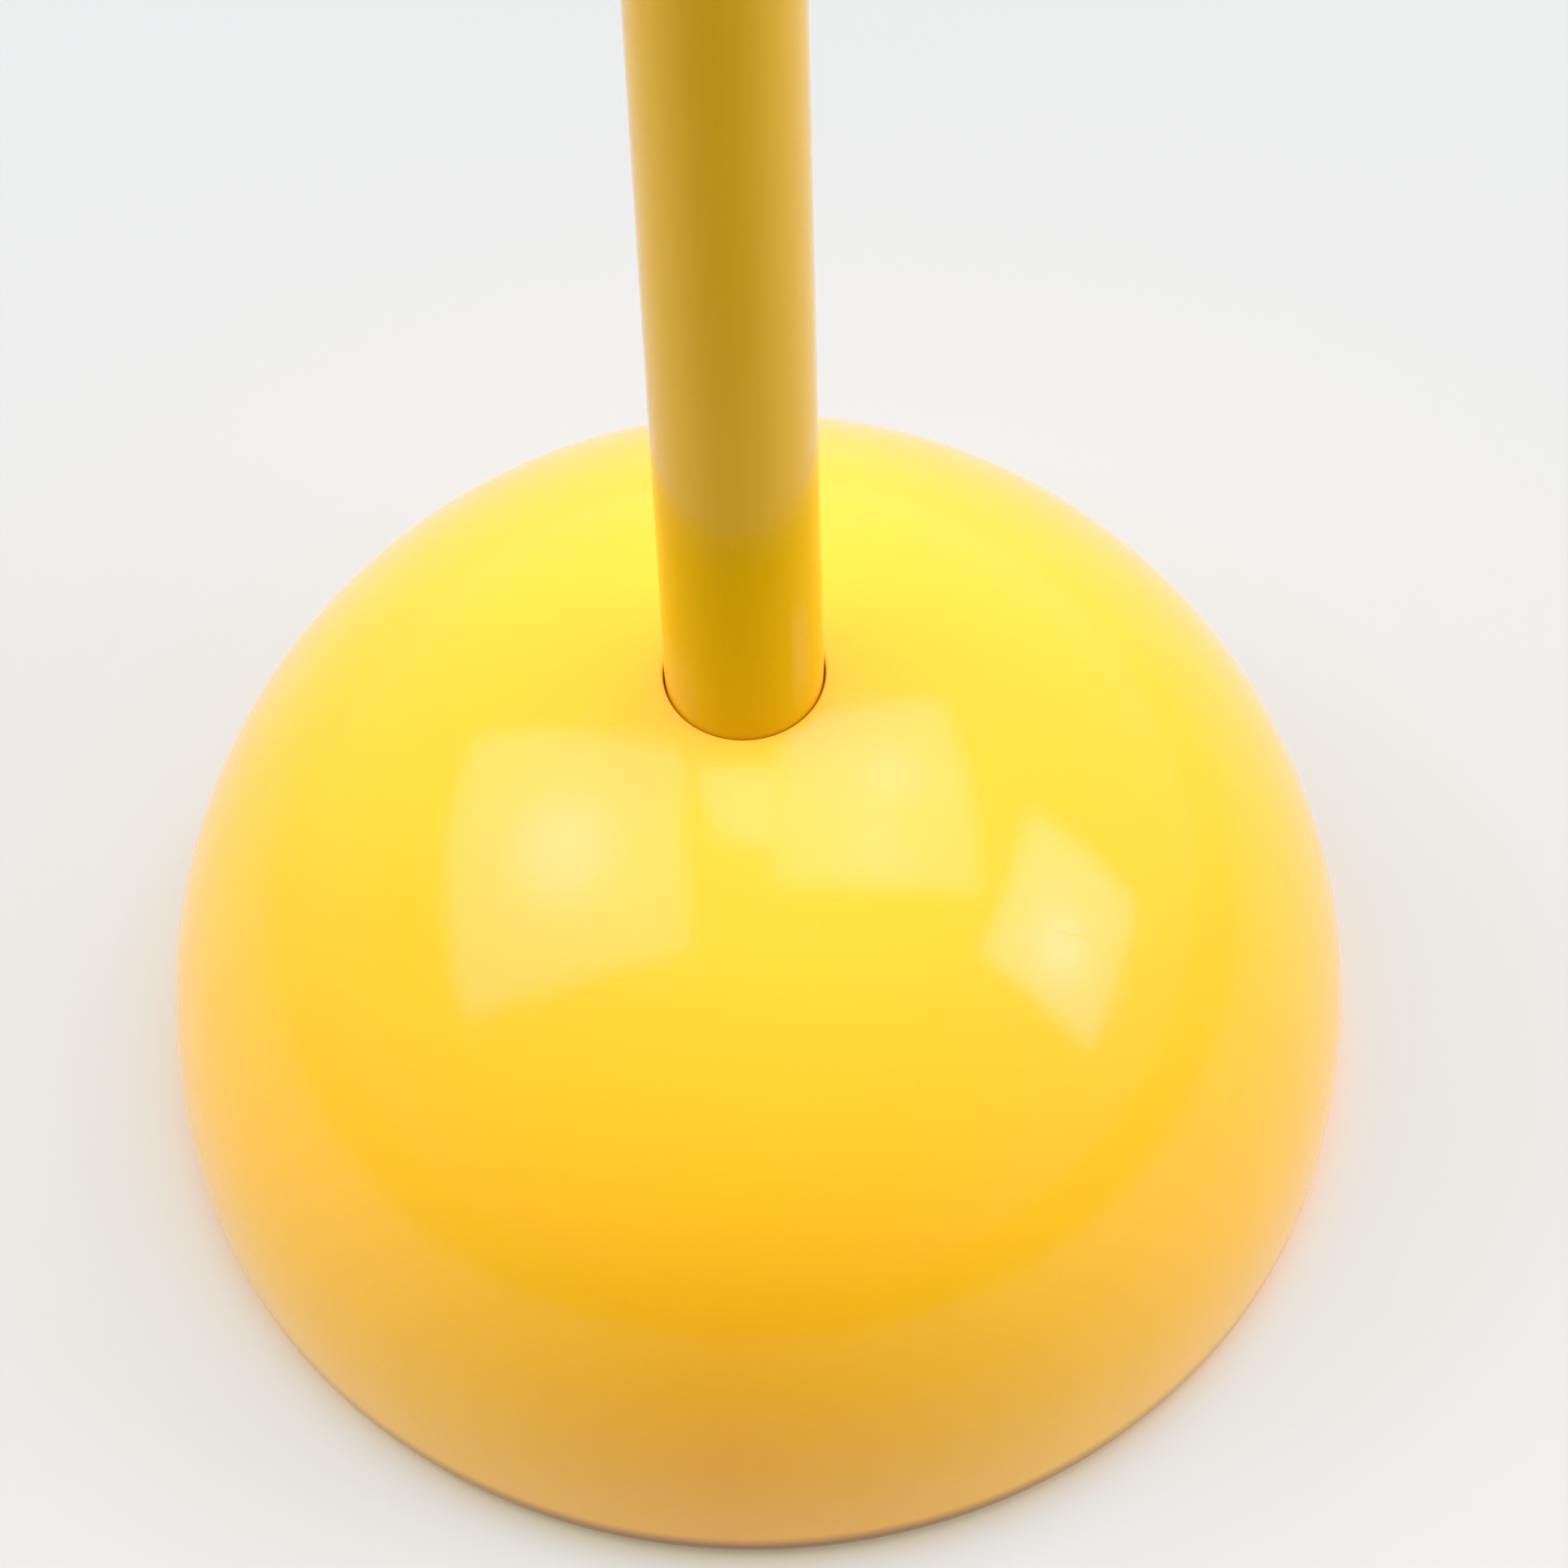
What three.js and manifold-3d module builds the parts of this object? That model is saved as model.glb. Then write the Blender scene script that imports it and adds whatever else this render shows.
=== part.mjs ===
// Slalom pole: a 25 mm plastic pole standing in a weighted dome base.
// Millimetres, +Z up. The origin is on the pole's axis at the floor, under the rubber feet.

import * as THREE from "three";
import { mergeVertices } from "three/addons/utils/BufferGeometryUtils.js";
import Module from "manifold-3d";

const wasm = await Module();
wasm.setup();

// ---------------------------------------------------------------- driving dimensions
const BALL_R = 99; // outer radius of the dome, a ball cut below its middle
const CUT_BELOW = 13.7; // from the ball's centre down to the rim's flat face
const RIM_Z = 2.6; // rim's flat face above the floor
const RIM_EDGE = 2.5; // outer edge radius of the rim
const WALL = 3; // shell wall
const LIP_R = 1.2; // radius of the rounded edge round the pole's hole
const HOLE_R = 12.9; // hole in the dome
const BALL_Z = RIM_Z + CUT_BELOW; // height of the ball's centre
const GAP = 0.3; // joint gap between fitted pieces

const NECK_R = 18.9; // outside of the neck that hangs under the hole
const NECK_SEAT_R = 15.9; // counterbore that takes the socket tube
const NECK_SHOULDER_Z = 96; // top of the counterbore
const NECK_END_Z = 82; // lower end of the neck

const PAN_SEAT_R = 94.2; // rebate in the rim that takes the pan
const LEDGE_Z = 8.3; // ledge above the pan
const LEDGE_R = 91; // inner edge of the ledge
const PAN_R = PAN_SEAT_R - GAP; // outside of the pan
const PAN_TOP = 8; // upper face of the pan's plate
const PAN_PLATE = 3; // plate thickness
const PAN_EDGE_Z = 2.8; // lower face of the pan's outer rim
const PAN_RIM_R = 89.5; // inside of the pan's outer rim
const RIB_Z = 3; // lower face of ribs, foot seats and filler ring
const RIB_T = 2; // rib thickness
const RIBS = 8;
const BOSS_TOP = 22; // top of the ring that holds the socket tube

const SOCKET_R = 15.6; // outside of the socket tube
const SOCKET_BORE = 13.2; // its bore
const SOCKET_FLOOR = 3; // thickness of its floor
const SOCKET_Z = PAN_TOP + GAP; // underside of its floor

const FOOT_R = 11;
const FOOT_RING = 76; // radius on which the feet sit
const FOOT_H = 4.2;
const FOOT_SEAT_R = 11.4;
const FOOT_BOSS_R = 13.6;
const FOOT_ANGLES = [45, 135, 225, 315];

const FILL_Y = 52; // filler axis, behind the pole's axis
const FILL_BORE = 16.1; // bore of the filler neck
const FILL_NECK_R = 19.4;
const FILL_NECK_TOP = 22;
const FILL_SEAT_R = 20.9; // recess that takes the plug's head and gasket
const FILL_SEAT_Z = 7; // ceiling of the recess
const FILL_RING_R = 24.2;
const FILL_RING_TOP = 10.5;

const CAP_HEAD_R = 20.2;
const CAP_HEAD_Z = 1.2; // lower face of the plug's head
const CAP_HEAD_T = 3.4;
const CAP_BODY_R = 15.4;
const CAP_BORE = 13;
const CAP_TOP = 20;
const THREAD_R = 15.6; // helix on which the round thread lies
const THREAD_ROUND = 1.3; // radius of the thread's round section
const THREAD_PITCH = 5;
const THREAD_Z = 8.6; // height at which the plug's thread starts
const THREAD_TURNS = 1.75;
const THREAD_CLEAR = 0.45;

const GASKET_R = 20;
const GASKET_BORE = 17.2;
const GASKET_Z = CAP_HEAD_Z + CAP_HEAD_T + GAP;
const GASKET_T = 1.8;

const SAND_LEVEL = 45; // top of the filling
const SAND_CLEAR = 0.5;

const POLE_R = 12.5; // 25 mm pole
const POLE_WALL = 1.8;
const POLE_LENGTH = 1600;
const PLUG_Z = SOCKET_Z + SOCKET_FLOOR + GAP; // underside of the pole's foot plug
const PLUG_FLANGE = 3;
const SPIGOT_R = POLE_R - POLE_WALL - GAP;
const SPIGOT_L = 22;
const SPIGOT_WALL = 1.8;
const POLE_Z = PLUG_Z + PLUG_FLANGE + GAP; // lower end of the tube
const TOP_Z = POLE_Z + POLE_LENGTH + GAP; // underside of the top cap's flange
const TOP_FLANGE = 3.2;

const ROUND = 48; // facets round the dome and pan
const ROUND_POLE = 32;
const ROUND_SMALL = 24;
const ROUND_FILLER = 32;

// ---------------------------------------------------------------- helpers
// welds shared vertices, drops collapsed faces and turns the faces outward
function closed(geometry) {
  const g = geometry.clone();
  g.deleteAttribute("normal");
  g.deleteAttribute("uv");
  const merged = mergeVertices(g, 1e-4);
  const p = merged.attributes.position;
  const kept = [];
  let volume = 0;
  const a = new THREE.Vector3(), b = new THREE.Vector3(), c = new THREE.Vector3();
  for (let i = 0; i < merged.index.count; i += 3) {
    const [i0, i1, i2] = [0, 1, 2].map((k) => merged.index.getX(i + k));
    if (i0 === i1 || i1 === i2 || i2 === i0) continue;
    kept.push(i0, i1, i2);
    a.fromBufferAttribute(p, i0);
    b.fromBufferAttribute(p, i1);
    c.fromBufferAttribute(p, i2);
    volume += a.dot(b.cross(c)) / 6;
  }
  if (volume < 0)
    for (let i = 0; i < kept.length; i += 3) [kept[i], kept[i + 1]] = [kept[i + 1], kept[i]];
  merged.setIndex(kept);
  return merged;
}

// revolves [radius, height] points round the Z axis
function revolve(points, segments) {
  const profile = points.map(([r, z]) => new THREE.Vector2(r, z));
  if (points[0][0] > 0) profile.push(profile[0].clone());
  return closed(new THREE.LatheGeometry(profile, segments).rotateX(Math.PI / 2));
}

function solid(geometry) {
  const g = closed(geometry);
  return new wasm.Manifold(
    new wasm.Mesh({
      numProp: 3,
      vertProperties: new Float32Array(g.attributes.position.array),
      triVerts: new Uint32Array(g.index.array),
    }),
  );
}

function geometryOf(manifold) {
  const m = manifold.getMesh();
  const positions = new Float32Array((m.vertProperties.length / m.numProp) * 3);
  for (let i = 0; i < positions.length / 3; i++)
    for (let k = 0; k < 3; k++) positions[3 * i + k] = m.vertProperties[m.numProp * i + k];
  const g = new THREE.BufferGeometry();
  g.setAttribute("position", new THREE.BufferAttribute(positions, 3));
  g.setIndex([...m.triVerts]);
  return g;
}

// an arc in the [radius, height] plane, from one angle to another in degrees
function arc(cr, cz, radius, from, to, steps) {
  return Array.from({ length: steps + 1 }, (_, i) => {
    const t = THREE.MathUtils.degToRad(from + ((to - from) * i) / steps);
    return [cr + radius * Math.cos(t), cz + radius * Math.sin(t)];
  });
}

const cylinder = (r, z0, z1, x = 0, y = 0, segments = ROUND_SMALL) =>
  new THREE.CylinderGeometry(r, r, z1 - z0, segments)
    .rotateX(Math.PI / 2)
    .translate(x, y, (z0 + z1) / 2);

class Helix extends THREE.Curve {
  constructor(radius, pitch, turns, z0, turn0) {
    super();
    Object.assign(this, { radius, pitch, turns, z0, turn0 });
  }
  getPoint(t, target = new THREE.Vector3()) {
    const angle = 2 * Math.PI * (this.turn0 + this.turns * t);
    return target.set(
      this.radius * Math.cos(angle),
      this.radius * Math.sin(angle),
      this.z0 + this.pitch * this.turns * t,
    );
  }
}

// a right-hand round thread along a helix, as a closed rod
function thread(section, z0, turns, turn0) {
  const shape = new THREE.Shape();
  for (let i = 0; i < 8; i++) {
    const t = (Math.PI * 2 * i) / 8;
    shape[i ? "lineTo" : "moveTo"](section * Math.cos(t), section * Math.sin(t));
  }
  return new THREE.ExtrudeGeometry(shape, {
    steps: Math.ceil(turns * 24),
    bevelEnabled: false,
    extrudePath: new Helix(THREAD_R, THREAD_PITCH, turns, z0, turn0),
  });
}

const at = (deg, r) => [
  r * Math.cos(THREE.MathUtils.degToRad(deg)),
  r * Math.sin(THREE.MathUtils.degToRad(deg)),
];

// ---------------------------------------------------------------- materials
const yellow = () =>
  new THREE.MeshStandardMaterial({ color: 0xf7b500, roughness: 0.18, metalness: 0 });
const yellowSatin = () =>
  new THREE.MeshStandardMaterial({ color: 0xeaa900, roughness: 0.45, metalness: 0 });
const poleYellow = () =>
  new THREE.MeshStandardMaterial({ color: 0xf2b100, roughness: 0.22, metalness: 0 });
const darkPlastic = () =>
  new THREE.MeshStandardMaterial({ color: 0x26272a, roughness: 0.5, metalness: 0 });
const rubber = () =>
  new THREE.MeshStandardMaterial({ color: 0x1c1c1e, roughness: 0.85, metalness: 0 });
const sand = () =>
  new THREE.MeshStandardMaterial({ color: 0xc9a873, roughness: 0.95, metalness: 0 });

const model = new THREE.Group();
function piece(name, geometry, material, parent = model) {
  geometry.computeVertexNormals();
  const mesh = new THREE.Mesh(geometry, material);
  mesh.name = name;
  parent.add(mesh);
  return mesh;
}

// ---------------------------------------------------------------- base
const base = new THREE.Group();
model.add(base);

// The shell: ball, rounded hole edge, neck with its counterbore, rim with the rebate for the pan.
{
  const deg = THREE.MathUtils.radToDeg;
  const lipR = HOLE_R + LIP_R; // centre of the lip's section
  const lipZ = BALL_Z + Math.sqrt((BALL_R - LIP_R) ** 2 - lipR ** 2);
  const lipAngle = deg(Math.atan2(lipZ - BALL_Z, lipR));
  const edgeZ = RIM_Z + RIM_EDGE; // centre of the rim's edge radius
  const edgeR = Math.sqrt((BALL_R - RIM_EDGE) ** 2 - (edgeZ - BALL_Z) ** 2);
  const edgeAngle = deg(Math.atan2(edgeZ - BALL_Z, edgeR));
  const inner = BALL_R - WALL;
  const neckAngle = deg(Math.acos(NECK_R / inner));
  const inwardZ = 17; // where the thicker rim has run out
  const inwardAngle = deg(Math.asin((inwardZ - BALL_Z) / inner));
  const points = [
    ...arc(lipR, lipZ, LIP_R, 180, lipAngle, 4), // over the hole's edge
    ...arc(0, BALL_Z, BALL_R, lipAngle, 0, 11).slice(1), // down the ball to its widest
    ...arc(0, BALL_Z, BALL_R, 0, edgeAngle, 2).slice(1), // and on below it
    ...arc(edgeR, edgeZ, RIM_EDGE, edgeAngle, -90, 3).slice(1), // rim's edge radius
    [PAN_SEAT_R, RIM_Z],
    [PAN_SEAT_R, LEDGE_Z],
    [LEDGE_R, LEDGE_Z],
    [LEDGE_R, 12],
    ...arc(0, BALL_Z, inner, inwardAngle, neckAngle, 9), // up the inside to the neck
    [NECK_R, NECK_END_Z],
    [NECK_SEAT_R, NECK_END_Z],
    [NECK_SEAT_R, NECK_SHOULDER_Z],
    [HOLE_R, NECK_SHOULDER_Z],
  ];
  piece("dome_shell", revolve(points, ROUND), yellow(), base);
}

// The pan: plate, outer rim, ribs, socket ring, foot seats and the threaded filler neck.
{
  let pan = solid(
    revolve(
      [
        [0, PAN_TOP - PAN_PLATE],
        [PAN_RIM_R, PAN_TOP - PAN_PLATE],
        [PAN_RIM_R, PAN_EDGE_Z],
        [PAN_R - 0.6, PAN_EDGE_Z],
        [PAN_R, PAN_EDGE_Z + 0.6],
        [PAN_R, PAN_TOP],
        [SOCKET_R + GAP + 3, PAN_TOP],
        [SOCKET_R + GAP + 3, BOSS_TOP],
        [SOCKET_R + GAP, BOSS_TOP],
        [SOCKET_R + GAP, PAN_TOP],
        [0, PAN_TOP],
      ],
      ROUND,
    ),
  );
  for (let i = 0; i < RIBS; i++) {
    const angle = 22.5 + (360 / RIBS) * i;
    const rib = new THREE.BoxGeometry(PAN_RIM_R - 12, RIB_T, PAN_TOP - 1 - RIB_Z)
      .translate((PAN_RIM_R + 1 + 14) / 2, 0, (PAN_TOP - 1 + RIB_Z) / 2)
      .rotateZ(THREE.MathUtils.degToRad(angle));
    pan = pan.add(solid(rib));
  }
  for (const ring of [17, 58])
    pan = pan.add(
      solid(
        revolve(
          [
            [ring - RIB_T / 2, RIB_Z],
            [ring + RIB_T / 2, RIB_Z],
            [ring + RIB_T / 2, PAN_TOP - 1],
            [ring - RIB_T / 2, PAN_TOP - 1],
          ],
          ROUND,
        ),
      ),
    );
  for (const deg of FOOT_ANGLES) {
    const [x, y] = at(deg, FOOT_RING);
    pan = pan.add(solid(cylinder(FOOT_BOSS_R, RIB_Z, PAN_TOP - 1, x, y)));
  }
  pan = pan
    .add(solid(cylinder(FILL_RING_R, RIB_Z, FILL_RING_TOP, 0, FILL_Y, ROUND_FILLER)))
    .add(solid(cylinder(FILL_NECK_R, RIB_Z + 1, FILL_NECK_TOP, 0, FILL_Y, ROUND_FILLER)));
  for (const deg of FOOT_ANGLES) {
    const [x, y] = at(deg, FOOT_RING);
    pan = pan.subtract(solid(cylinder(FOOT_SEAT_R, 0, FOOT_H + GAP, x, y)));
  }
  const grooveZ = THREAD_Z - THREAD_PITCH;
  const grooveTurns = (FILL_NECK_TOP + 3 - grooveZ) / THREAD_PITCH;
  pan = pan
    .subtract(solid(cylinder(FILL_SEAT_R, 0, FILL_SEAT_Z, 0, FILL_Y, ROUND_FILLER)))
    .subtract(solid(cylinder(FILL_BORE, 0, FILL_NECK_TOP + 4, 0, FILL_Y, ROUND_FILLER)))
    .subtract(
      solid(thread(THREAD_ROUND + THREAD_CLEAR, grooveZ, grooveTurns, -1).translate(0, FILL_Y, 0)),
    );
  piece("base_pan", geometryOf(pan), yellowSatin(), base);
}

// The socket: a blind tube from the pan's ring up into the neck's counterbore.
piece(
  "socket_tube",
  revolve(
    [
      [0, SOCKET_Z],
      [SOCKET_R - 1, SOCKET_Z],
      [SOCKET_R, SOCKET_Z + 1],
      [SOCKET_R, NECK_SHOULDER_Z - GAP],
      [SOCKET_BORE + 0.8, NECK_SHOULDER_Z - GAP],
      [SOCKET_BORE, NECK_SHOULDER_Z - GAP - 0.8],
      [SOCKET_BORE, SOCKET_Z + SOCKET_FLOOR],
      [0, SOCKET_Z + SOCKET_FLOOR],
    ],
    ROUND_POLE,
  ),
  darkPlastic(),
  base,
);

// The filling: it lies on the pan, round the socket ring and the filler neck.
{
  const inner = BALL_R - WALL - SAND_CLEAR;
  const from = 17.6;
  const angle = (z) => THREE.MathUtils.radToDeg(Math.asin((z - BALL_Z) / inner));
  const ringR = SOCKET_R + GAP + 3 + SAND_CLEAR;
  let filling = solid(
    revolve(
      [
        [ringR, PAN_TOP + SAND_CLEAR],
        [LEDGE_R - SAND_CLEAR, PAN_TOP + SAND_CLEAR],
        [LEDGE_R - SAND_CLEAR, 12.4],
        ...arc(0, BALL_Z, inner, angle(from), angle(SAND_LEVEL), 5),
        [ringR, SAND_LEVEL],
      ],
      ROUND,
    ),
  );
  filling = filling
    .subtract(
      solid(cylinder(FILL_RING_R + SAND_CLEAR, 0, FILL_RING_TOP + SAND_CLEAR, 0, FILL_Y, ROUND_FILLER)),
    )
    .subtract(
      solid(cylinder(FILL_NECK_R + SAND_CLEAR, 0, FILL_NECK_TOP + SAND_CLEAR, 0, FILL_Y, ROUND_FILLER)),
    );
  piece("sand_ballast", geometryOf(filling), sand(), base);
}

// The four rubber feet, each with a chamfered lower edge.
FOOT_ANGLES.forEach((deg, i) => {
  const foot = piece(
    `foot_pad_${i + 1}`,
    revolve(
      [
        [0, 0],
        [FOOT_R - 0.7, 0],
        [FOOT_R, 0.7],
        [FOOT_R, FOOT_H],
        [0, FOOT_H],
      ],
      ROUND_SMALL,
    ),
    rubber(),
    base,
  );
  foot.position.set(...at(deg, FOOT_RING), 0);
});

// ---------------------------------------------------------------- filler plug
// The plug: a head in the recess, a threaded cup above it and a grip bar across the cup.
const filler = new THREE.Group();
filler.position.set(0, FILL_Y, 0);
model.add(filler);
{
  const headTop = CAP_HEAD_Z + CAP_HEAD_T;
  let cap = solid(
    revolve(
      [
        [0, CAP_TOP - 2.4],
        [CAP_BORE, CAP_TOP - 2.4],
        [CAP_BORE, CAP_HEAD_Z + 0.8],
        [CAP_BORE + 0.8, CAP_HEAD_Z],
        [CAP_HEAD_R - 0.9, CAP_HEAD_Z],
        [CAP_HEAD_R, CAP_HEAD_Z + 0.9],
        [CAP_HEAD_R, headTop],
        [CAP_BODY_R, headTop],
        [CAP_BODY_R, CAP_TOP - 0.8],
        [CAP_BODY_R - 0.8, CAP_TOP],
        [0, CAP_TOP],
      ],
      ROUND_FILLER,
    ),
  );
  cap = cap
    .add(
      solid(
        new THREE.BoxGeometry(2 * CAP_BORE + 1, 4, CAP_TOP - 1 - (CAP_HEAD_Z + 1.2)).translate(
          0,
          0,
          (CAP_TOP - 1 + CAP_HEAD_Z + 1.2) / 2,
        ),
      ),
    )
    .add(solid(thread(THREAD_ROUND, THREAD_Z, THREAD_TURNS, 0)));
  piece("filler_cap", geometryOf(cap), darkPlastic(), filler);
  piece(
    "filler_gasket",
    revolve(
      [
        [GASKET_BORE, GASKET_Z],
        [GASKET_R, GASKET_Z],
        [GASKET_R, GASKET_Z + GASKET_T],
        [GASKET_BORE, GASKET_Z + GASKET_T],
      ],
      ROUND_FILLER,
    ),
    rubber(),
    filler,
  );
}

// ---------------------------------------------------------------- pole
const pole = new THREE.Group();
model.add(pole);

piece(
  "pole_tube",
  revolve(
    [
      [POLE_R - POLE_WALL, POLE_Z],
      [POLE_R, POLE_Z],
      [POLE_R, POLE_Z + POLE_LENGTH / 2],
      [POLE_R, POLE_Z + POLE_LENGTH],
      [POLE_R - POLE_WALL, POLE_Z + POLE_LENGTH],
      [POLE_R - POLE_WALL, POLE_Z + POLE_LENGTH / 2],
    ],
    ROUND_POLE,
  ),
  poleYellow(),
  pole,
);

// Foot plug: a flange under the tube and a hollow spigot inside it.
piece(
  "pole_foot_plug",
  revolve(
    [
      [0, PLUG_Z],
      [POLE_R - 1.2, PLUG_Z],
      [POLE_R, PLUG_Z + 1.2],
      [POLE_R, PLUG_Z + PLUG_FLANGE],
      [SPIGOT_R, PLUG_Z + PLUG_FLANGE],
      [SPIGOT_R, PLUG_Z + PLUG_FLANGE + SPIGOT_L - 1.5],
      [SPIGOT_R - 0.8, PLUG_Z + PLUG_FLANGE + SPIGOT_L],
      [SPIGOT_R - SPIGOT_WALL, PLUG_Z + PLUG_FLANGE + SPIGOT_L],
      [SPIGOT_R - SPIGOT_WALL, PLUG_Z + PLUG_FLANGE],
      [0, PLUG_Z + PLUG_FLANGE],
    ],
    ROUND_POLE,
  ),
  darkPlastic(),
  pole,
);

// Top cap: the same spigot below a flange with a rounded edge and a flat top.
piece(
  "pole_top_cap",
  revolve(
    [
      [0, TOP_Z],
      [SPIGOT_R - SPIGOT_WALL, TOP_Z],
      [SPIGOT_R - SPIGOT_WALL, TOP_Z - SPIGOT_L],
      [SPIGOT_R - 0.8, TOP_Z - SPIGOT_L],
      [SPIGOT_R, TOP_Z - SPIGOT_L + 1.5],
      [SPIGOT_R, TOP_Z],
      ...arc(POLE_R - TOP_FLANGE * 0.8, TOP_Z + TOP_FLANGE * 0.2, TOP_FLANGE * 0.8, 0, 90, 4),
      [0, TOP_Z + TOP_FLANGE],
    ].flatMap((p, i) => (i === 5 ? [p, [POLE_R, TOP_Z]] : [p])),
    ROUND_POLE,
  ),
  poleYellow(),
  pole,
);

export default model;
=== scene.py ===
"""A slalom pole in its dome base, on a plain pale floor, seen from above as in the photograph."""

import math

import bmesh
import bpy
from mathutils import Matrix, Vector


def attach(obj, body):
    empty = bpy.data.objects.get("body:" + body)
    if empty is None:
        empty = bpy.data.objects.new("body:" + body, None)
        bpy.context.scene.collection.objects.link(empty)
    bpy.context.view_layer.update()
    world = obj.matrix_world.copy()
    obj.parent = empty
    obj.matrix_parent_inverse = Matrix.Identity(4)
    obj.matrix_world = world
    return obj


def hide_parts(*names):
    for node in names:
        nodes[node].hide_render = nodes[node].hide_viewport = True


MM = 0.001

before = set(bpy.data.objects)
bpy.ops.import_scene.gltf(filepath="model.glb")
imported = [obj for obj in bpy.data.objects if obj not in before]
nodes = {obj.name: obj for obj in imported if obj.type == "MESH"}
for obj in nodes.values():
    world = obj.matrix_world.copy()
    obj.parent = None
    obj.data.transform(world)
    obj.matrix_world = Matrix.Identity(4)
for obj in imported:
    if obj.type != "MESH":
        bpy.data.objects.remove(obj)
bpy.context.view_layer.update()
scene = bpy.context.scene

# ------------------------------------------------------------------ dimensions of the CAD model, in millimetres
GAP = 0.3
BALL_R = 99.0
RIM_Z = 2.6
BALL_Z = RIM_Z + 13.7
RIM_EDGE = 2.5
WALL = 3.0
LIP_R = 0.5
HOLE_R = 12.66
NECK_R = 18.9
NECK_SEAT_R = 15.9
NECK_SHOULDER_Z = 96.0
NECK_END_Z = 82.0

PAN_SEAT_R = 94.2
LEDGE_Z = 8.3
LEDGE_R = 91.0
PAN_R = PAN_SEAT_R - GAP
PAN_TOP = 8.0
PAN_PLATE = 3.0
PAN_EDGE_Z = 2.8
PAN_RIM_R = 89.5
RIB_Z = 3.0
RIB_T = 2.0
RIBS = 8
BOSS_TOP = 22.0

SOCKET_R = 15.6
SOCKET_BORE = 13.2
SOCKET_Z = 8.3
SOCKET_FLOOR = 3.0

FOOT_R = 11.0
FOOT_H = 4.2
FOOT_RING = 76.0
FOOT_SEAT_R = 11.4
FOOT_BOSS_R = 13.6
FOOT_ANGLES = (45, 135, 225, 315)

FILL_Y = 52.0
FILL_BORE = 16.1
FILL_NECK_R = 19.4
FILL_NECK_TOP = 22.0
FILL_SEAT_R = 20.9
FILL_SEAT_Z = 7.0
FILL_RING_R = 24.2
FILL_RING_TOP = 10.5

CAP_HEAD_R = 20.2
CAP_HEAD_Z = 1.2
CAP_HEAD_T = 3.4
CAP_BODY_R = 15.4
CAP_BORE = 13.0
CAP_TOP = 20.0
THREAD_R = 15.6
THREAD_ROUND = 1.3
THREAD_PITCH = 5.0
THREAD_Z = 8.6
THREAD_TURNS = 1.75
THREAD_CLEAR = 0.45
GASKET_R = 20.0
GASKET_BORE = 17.2
GASKET_Z = CAP_HEAD_Z + CAP_HEAD_T + GAP
GASKET_T = 1.8

POLE_R = 12.5
POLE_WALL = 1.8
POLE_LENGTH = 1600.0
PLUG_Z = SOCKET_Z + SOCKET_FLOOR + GAP
PLUG_FLANGE = 3.0
SPIGOT_R = POLE_R - POLE_WALL - GAP
SPIGOT_L = 22.0
SPIGOT_WALL = 1.8
POLE_Z = PLUG_Z + PLUG_FLANGE + GAP
TOP_Z = POLE_Z + POLE_LENGTH + GAP
TOP_FLANGE = 3.2

# ------------------------------------------------------------------ camera
PHOTO = 1932.0
FOCAL_PX = 7006.4
PITCH = math.radians(56.927)
ROLL = math.radians(-1.998)
CAMERA_AT = Vector((5.603, -499.52, 848.89)) * MM

cam_data = bpy.data.cameras.new("camera")
cam_data.sensor_fit = "HORIZONTAL"
cam_data.sensor_width = 36.0
cam_data.lens = 36.0 * FOCAL_PX / PHOTO
cam_data.clip_start = 0.01
cam_data.clip_end = 200.0
camera = bpy.data.objects.new("camera", cam_data)
scene.collection.objects.link(camera)
right = Vector((1, 0, 0))
ahead = Vector((0, math.cos(PITCH), -math.sin(PITCH)))
above = Vector((0, math.sin(PITCH), math.cos(PITCH)))
right_rolled = math.cos(ROLL) * right + math.sin(ROLL) * above
above_rolled = -math.sin(ROLL) * right + math.cos(ROLL) * above
turn = Matrix((right_rolled, above_rolled, -ahead)).transposed().to_4x4()
camera.matrix_world = Matrix.Translation(CAMERA_AT) @ turn
scene.camera = camera


# ------------------------------------------------------------------ mesh helpers
def arc(cr, cz, radius, start, end, steps):
    """Points on an arc in the (radius, height) plane, angles in degrees."""
    out = []
    for i in range(steps + 1):
        t = math.radians(start + (end - start) * i / steps)
        out.append((cr + radius * math.cos(t), cz + radius * math.sin(t)))
    return out


def rounded(points, radii, steps=5):
    """A closed profile with the corners named in radii rounded. A support point on each long side keeps its shading flat."""
    out = []
    n = len(points)
    for i, p in enumerate(points):
        r = radii.get(i, 0)
        if not r:
            out.append(p)
            continue
        p0, p1 = Vector(points[i - 1]), Vector(points[(i + 1) % n])
        c = Vector(p)
        a, b = (p0 - c).normalized(), (p1 - c).normalized()
        half = a.angle(b) / 2
        reach = r / math.tan(half)
        centre = c + (a + b).normalized() * (r / math.sin(half))
        s, e = c + a * reach - centre, c + b * reach - centre
        if (p0 - c).length > reach + 3 * r:
            out.append(tuple(c + a * (reach + 0.5 * r)))
        t0 = math.atan2(s.y, s.x)
        dt = (math.atan2(e.y, e.x) - t0 + math.pi) % (2 * math.pi) - math.pi
        for k in range(steps + 1):
            t = t0 + dt * k / steps
            out.append((centre.x + r * math.cos(t), centre.y + r * math.sin(t)))
        if (p1 - c).length > reach + 3 * r:
            out.append(tuple(c + b * (reach + 0.5 * r)))
    return out


def at_angle(deg, radius):
    return radius * math.cos(math.radians(deg)), radius * math.sin(math.radians(deg))


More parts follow.
